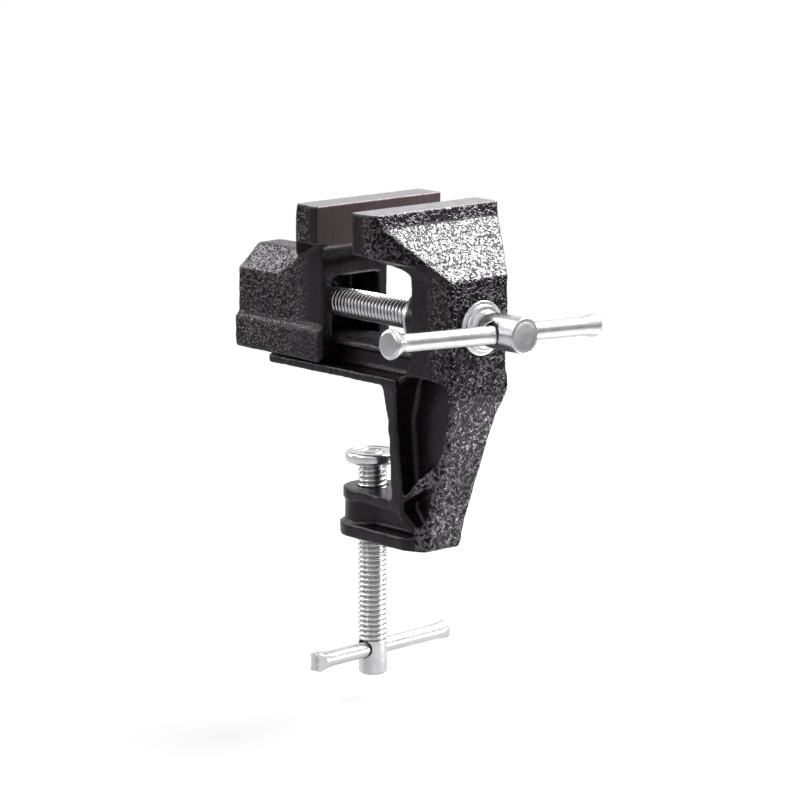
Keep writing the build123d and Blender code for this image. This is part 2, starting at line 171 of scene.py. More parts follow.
class Finish(NodeKit):
    def __init__(self, name, **fixed):
        self.material = bpy.data.materials.new(name)
        self.material.use_nodes = True
        super().__init__(self.material.node_tree)
        self.shader = self.tree.nodes["Principled BSDF"]
        self.shade(**fixed)
        self.place = self.node("ShaderNodeTexCoord", output="Object")

    def shade(self, **inputs):
        for socket, value in inputs.items():
            self.feed(self.shader.inputs[socket.replace("_", " ")], value)

    def grain(self, size, detail=2.0, roughness=0.5, distortion=0.0, where=None):
        # Noise between 0 and 1 whose features are about size metres across.
        return self.node(
            "ShaderNodeTexNoise",
            {"noise_dimensions": "3D"},
            {
                "Vector": where or self.place,
                "Scale": 1 / size,
                "Detail": detail,
                "Roughness": roughness,
                "Distortion": distortion,
            },
            "Fac",
        )

    def stretched(self, scale):
        return self.node(
            "ShaderNodeMapping", {"vector_type": "POINT"}, {"Vector": self.place, "Scale": scale}
        )

    def mask(self, name):
        return self.node("ShaderNodeAttribute", {"attribute_name": name}, output="Fac")

    def blend(self, factor, *colours):
        inputs = {0: factor}
        for socket, colour in zip((6, 7), colours):
            inputs[socket] = (*colour, 1) if isinstance(colour, tuple) else colour
        return self.node("ShaderNodeMix", {"data_type": "RGBA"}, inputs, 2)

    def bump(self, height, depth, under=None):
        inputs = {"Height": height, "Distance": depth, "Strength": 1.0}
        if under is not None:
            inputs["Normal"] = under
        return self.node("ShaderNodeBump", None, inputs, "Normal")


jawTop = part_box("sliding_jaw")[1].z
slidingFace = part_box("sliding_jaw")[0].y
fixedFace = -19.7 * mm  # in y, as slidingFace

# The paint's numbers. A pair named Range is where a mask or a noise starts and stops to act.
blackPaint = {
    "paint": (0.0125, 0.0085, 0.0115),
    "thin": (0.020, 0.0152, 0.0185),
    # The two crest colours are painted highlight: the wrinkles' ridges lighter than the paint,
    # brighter still on the bracket
    "crest": (0.026, 0.021, 0.026),
    "bracketCrestHighlight": (0.085, 0.075, 0.085),
    # The next colour is paler paint on the rail: rubbed paint, with a painted highlight on its top
    "wornAndLit": (0.12, 0.10, 0.112),
    "frameWorms": 1.7 * mm,  # how wide the wrinkles are: on one casting, the other, and lit slopes
    "jawWorms": 1.35 * mm,
    "fineWorms": 1.25 * mm,
    "wormGrain": (1.2, 0.4, 0.6),  # a noise's detail, roughness and, here, distortion
    "wormDepth": 0.30 * mm,
    "litEase": 0.4,  # share of that depth which a lit slope lacks
    "lineSharpness": 11.5,
    "bracketSoftness": 4.5,
    "furrowSharpness": 13.0,
    "pitGrain": (2, 0.5),
    "pitShare": 0.5,
    "pitRange": (0.36, 0.46),
    "peelSize": 2.2 * mm,
    "peelGrain": (3, 0.55),
    "peelDepth": 0.06 * mm,
    "thinRange": (0.35, 0.75),
    "rubAndLitRange": (0.25, 0.6),
    "litRange": (0.2, 0.4),
    "bracketRange": (-8 * mm, 4 * mm),  # below it the wrinkles are softer, and their crests get a brighter painted highlight
    # Gloss: on smooth paint, added on a worm, taken off in a gap, and what a lit slope changes
    "gloss": {
        "smooth": 0.31, "worm": 1.4, "gap": 0.28, "litWorm": 0.87, "litGap": 0.12, "litPit": 0.15,
    },
    "rough": {"smooth": 0.24, "peel": 0.10, "top": 0.14, "face": 0.16, "gap": 0.15, "worm": 0.25},
}

# Where the castings were cut: the jaw tops and the two gripping faces
bareIron = {
    "top": ((0.25, 0.24, 0.25), (0.34, 0.33, 0.34)),  # from the darkest streak to the palest
    "face": ((0.147, 0.113, 0.116), (0.165, 0.126, 0.130)),
    "metal": 0.85,
    "topMarks": (260, 1400, 260),  # tool marks per metre, along each axis
    "faceMarks": (1500, 900, 60),
    "markGrain": (3, 0.6),
    "topStreaks": (0.3, 0.75),
    "faceStreaks": (0.35, 0.7),
    "markDepth": 0.012 * mm,
    "topEdge": (0.12 * mm, 0.04 * mm),  # how far under the cut it begins, and is complete
    "faceEdge": (0.12 * mm, 0.05 * mm),
    "faceFoot": (30 * mm, 31 * mm),
}


def paintedIron(name, faceMask, wormSize):
    # Glossy black paint that wrinkles where the wrinkle attribute says, and bare where it was cut.
    kit, iron = blackPaint, bareIron
    gloss, rough = kit["gloss"], kit["rough"]
    finish = Finish(name, Specular_IOR_Level=1.0)
    wrinkle, sheen, wornAndLit = (finish.mask(mask) for mask in ("wrinkle", "sheen", "wornAndLit"))
    y, z = finish.axes(finish.place)[1:]
    lit = sheen.smooth(*kit["litRange"])
    low = 1 - z.smooth(*kit["bracketRange"])
    coarseGrain = finish.grain(wormSize, *kit["wormGrain"])
    fineGrain = finish.grain(kit["fineWorms"], *kit["wormGrain"])
    # Thin raised lines on the upright faces, thin furrows between flat worms on the lit ones.
    sharpness = kit["lineSharpness"] - low * kit["bracketSoftness"]
    raised = 1 - (abs(coarseGrain - 0.5) * sharpness).smooth(0.0, 1.0)
    furrowed = (abs(fineGrain - 0.5) * kit["furrowSharpness"]).smooth(0.0, 1.0)
    worms = raised + (furrowed - raised) * lit
    pits = finish.grain(kit["fineWorms"] / 2, *kit["pitGrain"])
    height = worms + pits * kit["pitShare"]
    peel = finish.grain(kit["peelSize"], *kit["peelGrain"])
    machined = z.smooth(*(jawTop - depth for depth in iron["topEdge"]))
    cut = faceMask(y, z)
    bare = machined.maths("MAXIMUM", machined, cut)
    topMarks, faceMarks = (
        finish.grain(1.0, *iron["markGrain"], where=finish.stretched(iron[marks]))
        for marks in ("topMarks", "faceMarks")
    )
    shadeTop = finish.blend(topMarks.smooth(*iron["topStreaks"]), *iron["top"])
    shadeFace = finish.blend(faceMarks.smooth(*iron["faceStreaks"]), *iron["face"])
    paint = finish.blend(peel.smooth(*kit["thinRange"]), kit["paint"], kit["thin"])
    # Painted highlight: the worms' crests are lighter than the paint, and lighter again on the
    # bracket.
    crest = finish.blend(low, kit["crest"], kit["bracketCrestHighlight"])
    highlitCrests = finish.blend(worms * wrinkle, paint, crest)
    # Paler rail: rubbed paint, and a painted highlight where its top faces up.
    slid = finish.blend(wornAndLit * peel.smooth(*kit["rubAndLitRange"]), highlitCrests, kit["wornAndLit"])
    colour = finish.blend(machined, slid, shadeTop)
    # Painted shade: a dark metal reflects little, so a share of it stands for the hollows that hold
    # no gloss, between the worms and in the pits of lit slopes.
    pitted = 1 - pits.smooth(*kit["pitRange"])
    relief = worms * (gloss["worm"] - lit * gloss["litWorm"]) - gloss["gap"]
    relief = relief + lit * (gloss["litGap"] - pitted * gloss["litPit"])
    shine = gloss["smooth"] + wrinkle * relief
    matt = rough["smooth"] + peel * rough["peel"] + machined * rough["top"] + cut * rough["face"]
    soft = finish.bump(peel, kit["peelDepth"])
    painted = height * wrinkle * (1 - bare) * (1 - sheen * kit["litEase"])
    wrinkled = finish.bump(painted, kit["wormDepth"], soft)
    finish.shade(
        Base_Color=finish.blend(cut, colour, shadeFace),
        Metallic=(1 - shine) * (1 - bare) + bare * iron["metal"],
        Roughness=matt + (rough["gap"] - worms * rough["worm"]) * wrinkle,
        Normal=finish.bump((topMarks + faceMarks) * bare, iron["markDepth"], wrinkled),
    )
    return finish.material


def fixedFaceMask(y, z):
    far, near = bareIron["faceEdge"]
    return y.smooth(fixedFace - far, fixedFace - near) * z.smooth(*bareIron["faceFoot"])


def slidingFaceMask(y, z):
    far, near = bareIron["faceEdge"]
    return 1 - y.smooth(slidingFace + near, slidingFace + far)


framePaint = paintedIron("framePaint", fixedFaceMask, blackPaint["frameWorms"])
jawPaint = paintedIron("jawPaint", slidingFaceMask, blackPaint["jawWorms"])


steelLook = {
    "cloudGrain": (2, 0.5),
    "fineGrain": (3, 0.6),
    "cloudSize": 3,  # times the size of the dents
    "cloudRange": (0.3, 0.7),
    "dull": 0.88,  # share of the tint where it's darkest
    "rootShadeRange": (0.0, 0.45),
    "cloudRough": 0.10,
    "fineRough": 0.05,
    "fineHeight": 0.3,
}


def polishedSteel(name, tint, rough, dents, size, root=None):
    kit = steelLook
    finish = Finish(name, Metallic=1.0)
    cloud = finish.grain(size * kit["cloudSize"], *kit["cloudGrain"])
    fine = finish.grain(size, *kit["fineGrain"])
    dull = tuple(part * kit["dull"] for part in tint)
    colour = finish.blend(cloud.smooth(*kit["cloudRange"]), dull, tint)
    if root:
        # Painted shade: the thread is darker at its root.
        unshaded = finish.mask("crest").smooth(*kit["rootShadeRange"])
        colour = finish.blend(unshaded, (root, root, root), colour)
    finish.shade(
        Base_Color=colour,
        Roughness=rough + cloud * kit["cloudRough"] + fine * kit["fineRough"],
        Normal=finish.bump(cloud + fine * kit["fineHeight"], dents),
    )
    return finish.material


steels = {
    # name: tint, roughness, depth of the dents, their size, grey of the painted shade at the
    # thread's root
    "platedSteel": ((0.88, 0.88, 0.90), 0.15, 0.03 * mm, 1.1 * mm),
    "turnedSteel": ((0.86, 0.86, 0.88), 0.28, 0.003 * mm, 1.4 * mm),
    "facedSteel": ((0.70, 0.69, 0.70), 0.22, 0.14 * mm, 1.3 * mm),
    "leadThreadSteel": ((0.88, 0.88, 0.90), 0.17, 0.02 * mm, 0.6 * mm, 0.02),
    "clampThreadSteel": ((0.82, 0.82, 0.84), 0.20, 0.02 * mm, 0.6 * mm, 0.34),
    "plainSteel": ((0.70, 0.70, 0.72), 0.26, 0.05 * mm, 0.7 * mm),
}
plating, turnedPlating, facedSteel, leadPlating, clampPlating, plainSteel = (
    polishedSteel(name, *values) for name, values in steels.items()
)
print("materials made")


# Mesh helpers

weld = 2e-6  # points closer than this, in metres, are one
sliver = 1e-7


def within(value, low, high):
    return (value > low) & (value < high)


def freshMesh(name, points, faces):
    mesh = bpy.data.meshes.new(name)
    mesh.from_pydata([tuple(point) for point in points], [], faces)
    mesh.update()
    return mesh


def mergedCopy(node, name):
    made = placeObject(name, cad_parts[node].data.copy())
    grow = bmesh.new()
    grow.from_mesh(made.data)
    bmesh.ops.remove_doubles(grow, verts=grow.verts, dist=weld)
    grow.to_mesh(made.data)
    grow.free()
    return made


def settle(piece):
    # Replaces a piece's mesh by its evaluated one, and drops its modifiers.
    bpy.context.view_layer.update()
    seen = piece.evaluated_get(bpy.context.evaluated_depsgraph_get())
    mesh = bpy.data.meshes.new_from_object(seen)
    old = piece.data
    piece.modifiers.clear()
    piece.data = mesh
    bpy.data.meshes.remove(old)


def dress(piece, *materials):
    piece.data.materials.clear()
    for material in materials:
        piece.data.materials.append(material)


def voxelise(piece, size):
    voxels = piece.modifiers.new("voxels", "REMESH")
    voxels.mode = "VOXEL"
    voxels.voxel_size = size
    voxels.use_smooth_shade = True
    settle(piece)


def readPoints(mesh):
    points = np.empty(len(mesh.vertices) * 3)
    mesh.vertices.foreach_get("co", points)
    return points.reshape(-1, 3)


def readNormals(mesh):
    normals = np.empty(len(mesh.vertices) * 3)
    mesh.vertex_normals.foreach_get("vector", normals)
    return normals.reshape(-1, 3)


def writePoints(mesh, points):
    mesh.vertices.foreach_set("co", points.ravel())
    mesh.update()


def relax(mesh, rounds, share):
    # Smooths each point by its own share. share(points, normals) gives (convex, concave).
    count = len(mesh.vertices)
    pairs = np.empty(len(mesh.edges) * 2, np.int32)
    mesh.edges.foreach_get("vertices", pairs)
    a, b = pairs[::2], pairs[1::2]
    degree = np.bincount(a, minlength=count) + np.bincount(b, minlength=count)
    points, normals = readPoints(mesh), readNormals(mesh)
    convex, concave = share(points, normals)
    for turn in range(rounds):
        if turn % 4 == 3:  # the normals change slowly, so they are read now and then
            writePoints(mesh, points)
            normals = readNormals(mesh)
        total = np.stack([
            np.bincount(a, points[b, axis], count) + np.bincount(b, points[a, axis], count)
            for axis in range(3)
        ], 1)
        step = total / degree[:, None] - points
        lift = (step * normals).sum(1)
        points = points + step * np.where(lift > 0, concave, convex)[:, None]
    writePoints(mesh, points)


def ramp(value, low, high):
    share = np.clip((value - low) / (high - low), 0, 1)
    return share * share * (3 - 2 * share)


def roughness(points, size, seed):
    # Noise from -1 to 1 at each point, with features of that size.
    shift = Vector((seed, seed * 1.7, -seed))
    return np.array([noise.noise(Vector(point) / size + shift) for point in points])


def writeMask(mesh, name, values):
    mask = mesh.attributes.new(name, "FLOAT", "POINT")
    mask.data.foreach_set("value", np.asarray(values, np.float32))


def insideBox(points, node, below=0.0):
    low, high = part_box(node)
    return np.clip(points, np.array(low) - (0, 0, below), np.array(high))


# The two castings: the CAD shape, softened as sand-cast iron is

casting = {
    "voxel": 0.5 * mm,
    "rounds": 16,
    "wave": 0.16 * mm,  # how far the skin wanders, over waveSize
    "waveSize": 4.0 * mm,
    "waveSeed": 3.0,
    "nick": 0.2 * mm,
    "nickSize": 1.4 * mm,
    "nickSeed": 8.0,
    "spared": 0.6,  # share of the nicks that a lit slope doesn't have
    "uneven": 1.6,  # how much the sharpness of outer edges varies, between these limits
    "unevenLimits": (0.25, 2),
    "unevenSeed": 5.0,
    "snap": 0.42 * mm,  # points this close to a cut face lie on it
    "fillBelow": 0.8 * mm,  # how far a fill may reach under the CAD shape
}


def unevenly(share):
    # Makes an outer edge sharper here and blunter there, as a cast one is.
    def uneven(points, normals):
        convex, concave = share(points, normals)
        patch = roughness(points, casting["waveSize"], casting["unevenSeed"])
        sharper = np.clip(1 + patch * casting["uneven"], *casting["unevenLimits"])
        return convex * sharper, concave

    return uneven


def addFill(mesh, outline, low, high):
    # Metal that the casting has in a corner: a (y, z) outline in mm, run across from low to high.
    grow = bmesh.new()
    grow.from_mesh(mesh)
    ends = [[grow.verts.new((x * mm, y * mm, z * mm)) for y, z in outline] for x in (low, high)]
    count = len(outline)
    made = [grow.faces.new(ends[0]), grow.faces.new(ends[1][::-1])]
    for step in range(count):
        after = (step + 1) % count
        made.append(grow.faces.new((ends[0][after], ends[0][step], ends[1][step], ends[1][after])))
    bmesh.ops.recalc_face_normals(grow, faces=made)
    grow.to_mesh(mesh)
    grow.free()


def castPiece(node, name, share, wrinkle, sheen, paint, flats, fills):
    # flats are (axis, place, test) for faces that were cut flat after casting, and fills are what
    # addFill takes.
    piece = mergedCopy(node, name)
    for outline, low, high in fills:
        addFill(piece.data, outline, low, high)
    voxelise(piece, casting["voxel"])
    mesh = piece.data
    relax(mesh, casting["rounds"], unevenly(share))
    points, normals = readPoints(mesh), readNormals(mesh)
    rough = wrinkle(points / mm, normals)
    wave = roughness(points, casting["waveSize"], casting["waveSeed"]) * 0.5 + 0.5
    nick = roughness(points, casting["nickSize"], casting["nickSeed"]) * 0.5 + 0.5
    bright = sheen(points / mm, normals)
    ragged = rough * (1 - bright * casting["spared"])
    ragged = np.maximum(ragged, plateEdge(points / mm, normals))
    depth = wave * casting["wave"] + nick * ragged * casting["nick"]
    points = points - normals * depth[:, None]
    for axis, place, test in flats:
        near = (abs(points[:, axis] - place) < casting["snap"]) & test(points / mm, normals)
        points[near, axis] = place
    writePoints(mesh, insideBox(points, node, casting["fillBelow"]))
    writeMask(mesh, "wrinkle", rough)
    writeMask(mesh, "sheen", bright)
    writeMask(mesh, "wornAndLit", rubbedAndLitRail(points / mm, normals))
    mesh.shade_smooth()
    dress(piece, paint)
    return piece


# Which regions of the castings are how soft, wrinkled, lit or rubbed. All places are in mm.

def frameShare(points, normals):
    y, z = (points / mm).T[1:]
    machined = (z > 53.6) | ((y > -20.3) & (z > 37.5))
    rail = within(z, 0, 12) & (y > -30)
    firm = rail | (z < -33) | (z > 34)
    pocket = within(z, -31, 1) & within(y, -34, -21)
    convex = np.where(machined, 0.05, np.where(firm, 0.08, 0.12))
    concave = np.where(machined | firm, 0.12, np.where(pocket, 0.6, 0.3))
    return convex, concave


def frameWrinkle(place, normals):
    x, y, z = place.T
    side = abs(normals[:, 0]) > 0.5
    front = normals[:, 1] < -0.35
    head = np.where(side, ramp(-y, 22.5, 29), 1.0) * np.where(normals[:, 2] < -0.6, 0.1, 1)
    column = np.where(front, 1.0, np.where(side, ramp(-y, 37, 44.5), 0.0))
    rim = np.where(abs(x) > 5.2, np.where(z < -42, ramp(-y, 25, 28), ramp(-y, 28, 32.5)), 0.0)
    bracket = np.where(front & (abs(x) < 12) & (y < -31), 1.0, np.where(side, rim, 0.0))
    mask = np.where(z > 34.8, head, np.where(z > -2, column, bracket))
    return np.where((y > -29.5) & (z < 20), 0.08 * (z > -1), mask)


def frameSheen(place, normals):
    y, z = place.T[1:]
    return ramp(z, 34, 37) * ramp(-y, 27, 29) * ramp(normals[:, 2], 0.45, 0.6) * (z < 51)


def jawSheen(place, normals):
    y, z = place.T[1:]
    return 0.45 * ramp(normals[:, 2], 0.4, 0.6) * (y > 12) * within(z, 12, 45)


def rubbedAndLitRail(place, normals):
    # Paler paint on the rail's top and edges: the sliding jaw rubs the paint there, and the
    # upward-facing top also gets a painted highlight.
    x, y, z = place.T
    top = ramp(z, 10.2, 10.8) * ramp(normals[:, 2], 0.2, 0.8)
    edge = 0.45 * ramp(z, 8.4, 9.2)
    rail = (abs(x) < 9.2) & (y > -30) & within(z, 8, 11.2)
    return np.where(rail, np.maximum(top, edge), 0)


def plateEdge(place, normals):
    # The parting line of the mould runs along the base plate's edge.
    x, y, z = place.T
    return 1.3 * (within(z, -0.3, 3) & (y > -28) & (abs(x) > 12.5))


def jawShare(points, normals):
    x, y, z = (points / mm).T
    machined = (z > 53.6) | (y < -2.9)
    channel = (z < 14) & (abs(x) < 11)
    neck = (y < 9.5) & (z > 33)
    convex = np.where(machined, 0.05, np.where(channel, 0.02, 0.12))
    concave = np.where(machined | neck, 0.08, np.where(channel, 0.02, 0.4))
    return convex, concave


def jawWrinkle(place, normals):
    x, y, z = place.T
    side = abs(normals[:, 0]) > 0.5
    above = normals[:, 2] > 0.25
    block = np.where(side, ramp(y, 12, 30), np.where(above, ramp(y, 8, 16), 0.9))
    skirt = np.where(z < 15, 0.2 + 0.6 * ramp(y, 14, 38), block)
    plate = np.where(abs(x) > 24.2, 0.9 * ramp(y, -1, 4), np.where(y > 6, 0.9, 0.1))
    inside = (abs(x) < 9.8) & (z < 31)
    ahead = (normals[:, 1] < -0.5) & (y > 5)
    mask = np.where(z > 41.5, plate, skirt)
    return np.where(inside | ahead | (normals[:, 2] < -0.6), 0.06, mask)


jawTopFlat = 2, jawTop, lambda place, normals: (normals[:, 2] > 0.5) & (place[:, 2] > 53)
frameFlat = 1, fixedFace, lambda place, normals: (normals[:, 1] > 0.5) & (place[:, 2] > 37.5)
jawFlat = 1, slidingFace, lambda place, normals: normals[:, 1] < -0.5
# Fills, as (y, z) in mm: the corner of plate, column and pocket, and the foot of the jaw's skirt
plateCorner = [
    (-27.0, 1.6), (-28.5, 3.0), (-31.5, 3.7), (-36.0, 3.9), (-40.0, 3.85),
    (-36.0, 5.0), (-31.5, 5.3), (-28.5, 3.6), (-27.0, 3.0),
]
skirtFoot = [(8.5, 3.05), (49.4, 3.05), (49.4, 5.0), (8.5, 5.0)]

clampFrame = castPiece(
    "clamp_frame", "clampFrame", frameShare, frameWrinkle, frameSheen, framePaint,
    [jawTopFlat, frameFlat], [(plateCorner, -11.6, 11.6)],
)
slidingJaw = castPiece(
    "sliding_jaw", "slidingJaw", jawShare, jawWrinkle, jawSheen, jawPaint,
    [jawTopFlat, jawFlat], [(skirtFoot, 8.4, 14.8), (skirtFoot, -14.8, -8.4)],
)
print("castings done", len(clampFrame.data.polygons), len(slidingJaw.data.polygons))


# Screw threads follow a rule, so Geometry Nodes winds them

thread = {
    "pitch": 1.5875 * mm,
    "depth": 0.62 * mm,
    "perPitch": 10,
    "around": 56,
    "flank": (0.22, 0.80),  # where it rises, between a root at 0 and a crest at 1
    "nudge": 0.0001,  # keeps every row on its own side of a root
}


class GeometryKit(NodeKit):
    def __init__(self, name):
        super().__init__(bpy.data.node_groups.new(name, "GeometryNodeTree"))
        self.tree.interface.new_socket(
            "Geometry", in_out="OUTPUT", socket_type="NodeSocketGeometry"
        )
        self.entry = self.tree.nodes.new("NodeGroupInput")
        self.exit = self.tree.nodes.new("NodeGroupOutput")

    def inputs(self, kind, *names):
        for name in names:
            self.tree.interface.new_socket(name, in_out="INPUT", socket_type=kind)
        return [Signal(self, self.entry.outputs[name]) for name in names]

    def end(self, geometry):
        self.feed(self.exit.inputs[0], geometry)


def threadTree():
    # A grid wrapped round Z: its rows climb one pitch a turn, and its radius is the thread's form.
    kit = GeometryKit("woundThread")
    crest, depth, pitch, length, chamfer = kit.inputs(
        "NodeSocketFloat", "Crest radius", "Depth", "Pitch", "Length", "Chamfer"
    )
    rows, columns = kit.inputs("NodeSocketInt", "Rows", "Columns")
    [steel] = kit.inputs("NodeSocketMaterial", "Material")
    grid = kit.node(
        "GeometryNodeMeshGrid", None,
        {"Size X": 1.0, "Size Y": 1.0, "Vertices X": rows, "Vertices Y": columns},
    )
    across, around = kit.axes(kit.node("GeometryNodeInputPosition"))[:2]
    row = (across + 0.5) * (rows - 1)
    turn = around + 0.5
    wound = row * (1 / thread["perPitch"])
    along = (wound + turn - 1) * pitch
    height = along.maths("MINIMUM", along.maths("MAXIMUM", along, 0.0), length)
    beat = abs(wound.maths("FRACT", wound + thread["nudge"]) * 2 - 1)
    form = beat.smooth(*thread["flank"])
    radius = crest - depth * (1 - form)
    end = height.maths("MINIMUM", height, length - height) + (crest - chamfer)
    radius = radius.maths("MINIMUM", radius, end)
    # The first and the last row lie on the axis and close the ends.
    side = row.maths("GREATER_THAN", row, 0.5) * row.maths("LESS_THAN", row, rows - 1.5)
    radius = radius * side
    angle = turn * math.tau
    wrapped = kit.node(
        "ShaderNodeCombineXYZ", None,
        {
            0: radius * angle.maths("COSINE", angle),
            1: radius * angle.maths("SINE", angle),
            2: height,
        },
    )
    marked = kit.node(
        "GeometryNodeStoreNamedAttribute", {"data_type": "FLOAT", "domain": "POINT"},
        {"Geometry": grid, "Name": "crest", "Value": form},
    )
    moved = kit.node("GeometryNodeSetPosition", None, {"Geometry": marked, "Position": wrapped})
    merged = kit.node(
        "GeometryNodeMergeByDistance", None, {"Geometry": moved, "Distance": weld / 2}
    )
    smooth = kit.node("GeometryNodeSetShadeSmooth", None, {"Geometry": merged})
    real = kit.node("GeometryNodeRealizeInstances", None, {"Geometry": smooth})
    kit.end(kit.node("GeometryNodeSetMaterial", None, {"Geometry": real, "Material": steel}))
    return kit.tree


windThread = threadTree()


def threadedRod(name, crest, length, chamfer, place, steel):
    seed = placeObject(name, freshMesh(name, [(0, 0, 0)], []))
    wound = seed.modifiers.new("thread", "NODES")
    wound.node_group = windThread
    rows = (math.ceil(length / thread["pitch"]) + 1) * thread["perPitch"] + 1
    settings = {
        "Crest radius": crest,
        "Depth": thread["depth"],
        "Pitch": thread["pitch"],
        "Length": length,
        "Chamfer": chamfer,
        "Rows": rows,
        "Columns": thread["around"] + 1,
        "Material": steel,
    }
    for item in windThread.interface.items_tree:
        if item.in_out == "INPUT":
            wound[item.identifier] = settings[item.name]
    settle(seed)
    seed.data.transform(place)
    faceOutwards(seed.data)
    return seed


def faceOutwards(mesh):
    grow = bmesh.new()
    grow.from_mesh(mesh)
    bmesh.ops.dissolve_degenerate(grow, edges=grow.edges, dist=sliver)
    bmesh.ops.recalc_face_normals(grow, faces=grow.faces)
    grow.to_mesh(mesh)
    grow.free()
    mesh.update()


sharpEdge = 35  # degrees between two faces from which their edge shows


def lathe(name, profile, place, material, segments=96):
    # Turns a closed (radius, height) outline round Z. Points on the axis become poles.
    points, rings = [], []
    for radius, height in profile:
        if radius == 0:
            rings.append([len(points)] * segments)
            points.append((0, 0, height))
            continue
        rings.append(list(range(len(points), len(points) + segments)))
        for step in range(segments):
            angle = math.tau * step / segments
            points.append((radius * math.cos(angle), radius * math.sin(angle), height))
    faces = []
    capped = profile[0][0] == 0 and profile[-1][0] == 0
    for ring in range(len(rings) - int(capped)):
        low, high = rings[ring], rings[(ring + 1) % len(rings)]
        for step in range(segments):
            after = (step + 1) % segments
            corners = []
            for corner in (low[step], low[after], high[after], high[step]):
                if corner not in corners:
                    corners.append(corner)
            if len(corners) > 2:
                faces.append(corners)
    piece = placeObject(name, freshMesh(name, points, faces))
    piece.data.transform(place)
    faceOutwards(piece.data)
    piece.data.shade_smooth()
    piece.data.set_sharp_from_angle(angle=math.radians(sharpEdge))
    dress(piece, material)
    return piece


def rounded(profile, radius, steps=4):
    # Rounds the corners of an outline whose entry says so with a third number, a share of radius.
    smooth = []
    for index, entry in enumerate(profile):
        point = Vector(entry[:2])
        share = entry[2] if len(entry) > 2 else 0
        if not share:
            smooth.append(tuple(point))
            continue
        before = Vector(profile[index - 1][:2])
        after = Vector(profile[(index + 1) % len(profile)][:2])
        # Just under half an edge, so that two rounded corners never meet.
        reach = min(radius * share, (before - point).length * 0.48, (after - point).length * 0.48)
        start = point + (before - point).normalized() * reach
        end = point + (after - point).normalized() * reach
        for step in range(steps + 1):
            t = step / steps
            smooth.append(tuple(start.lerp(point, t).lerp(point.lerp(end, t), t)))
    return smooth


def inMetres(outline):
    # An outline given in mm. The share of rounding isn't a length, and stays.
    return [(radius * mm, height * mm, *share) for radius, height, *share in outline]


# Lead screw, along +Y

lead = {
    "axisZ": 20.26 * mm,
    "front": -49.3 * mm,
    "threadStart": -48.4 * mm,
    "reach": 98.1 * mm,
    "crest": 4.64 * mm,
    "chamfer": 0.9 * mm,
    "headRadius": 5.49 * mm,
    "headEdge": 0.7 * mm,
    "shoulderRadius": 7.1 * mm,
    "shoulder": (2.45 * mm, 1.35 * mm),  # its two faces, outwards from the front
    "neck": 1.9 * mm,  # its length, and how much thinner than the crest it is
    "neckUnder": 0.2 * mm,
    "hole": 3.4 * mm,  # the drill's radius, and how far it reaches both ways
    "drill": 20 * mm,
    "headVoxel": 0.2 * mm,
    "snap": 0.07 * mm,
    "faceDepth": 0.3 * mm,  # how deep the dished end is
    "ringBore": 4.73 * mm,
}


def leadPlace(y):
    return Matrix.Translation((0, y, lead["axisZ"])) @ Matrix.Rotation(math.radians(-90), 4, "X")


leadThread = threadedRod(
    "leadThread", lead["crest"], lead["front"] + lead["reach"] - lead["threadStart"],
    lead["chamfer"], leadPlace(lead["threadStart"]), leadPlating,
)


def cutCopy(node, name, point, normal):
    # The part of a CAD node that lies behind a plane, closed again where it was cut.
    piece = mergedCopy(node, name)
    grow = bmesh.new()
    grow.from_mesh(piece.data)
    cut = bmesh.ops.bisect_plane(
        grow, geom=grow.verts[:] + grow.edges[:] + grow.faces[:],
        plane_co=point, plane_no=normal, clear_outer=True,
    )
    edges = [item for item in cut["geom_cut"] if isinstance(item, bmesh.types.BMEdge)]
    bmesh.ops.holes_fill(grow, edges=edges)
    grow.to_mesh(piece.data)
    grow.free()
    return piece


def snapTurned(mesh, axis, radii, ends, reach):
    # Puts points that lie close to a turned surface or a faced end exactly on it.
    points = readPoints(mesh)
    centre, direction = np.array(axis[0]), np.array(axis[1])
    offset = points - centre
    height = offset @ direction
    radial = offset - height[:, None] * direction
    distance = np.linalg.norm(radial, axis=1)
    for radius in radii:
        near = abs(distance - radius) < reach
        points[near] += radial[near] * ((radius - distance[near]) / distance[near])[:, None]
    for end in ends:
        near = abs(height - end) < reach
        points[near] += direction * (end - height[near])[:, None]
    writePoints(mesh, points)


def handlePlace(centre, tilt, turn, sag):
    return (
        Matrix.Translation(centre)
        @ Matrix.Rotation(math.radians(turn), 4, "Z")
        @ Matrix.Rotation(math.radians(tilt), 4, "Y")
        @ Matrix.Translation((0, 0, -sag))
        @ Matrix.Rotation(math.radians(90), 4, "Y")
    )


leadBar = {
    "holeY": -59.75 * mm,
    "tilt": 2.69,
    "sag": 0.5 * mm,
    "left": 46.3 * mm,
    "right": 38.8 * mm,
    "radius": 2.83 * mm,
    "flareRadius": 4.5 * mm,
    "flare": 4.7 * mm,
    "bulgeRadius": 3.55 * mm,
    "bulge": 4.4 * mm,
    "lip": 0.7 * mm,
    "edge": 0.9 * mm,
    "ringGap": 3 * mm,  # rings along the bar keep its shading even
    "sharp": 40,
}

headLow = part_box("lead_screw")[0].y


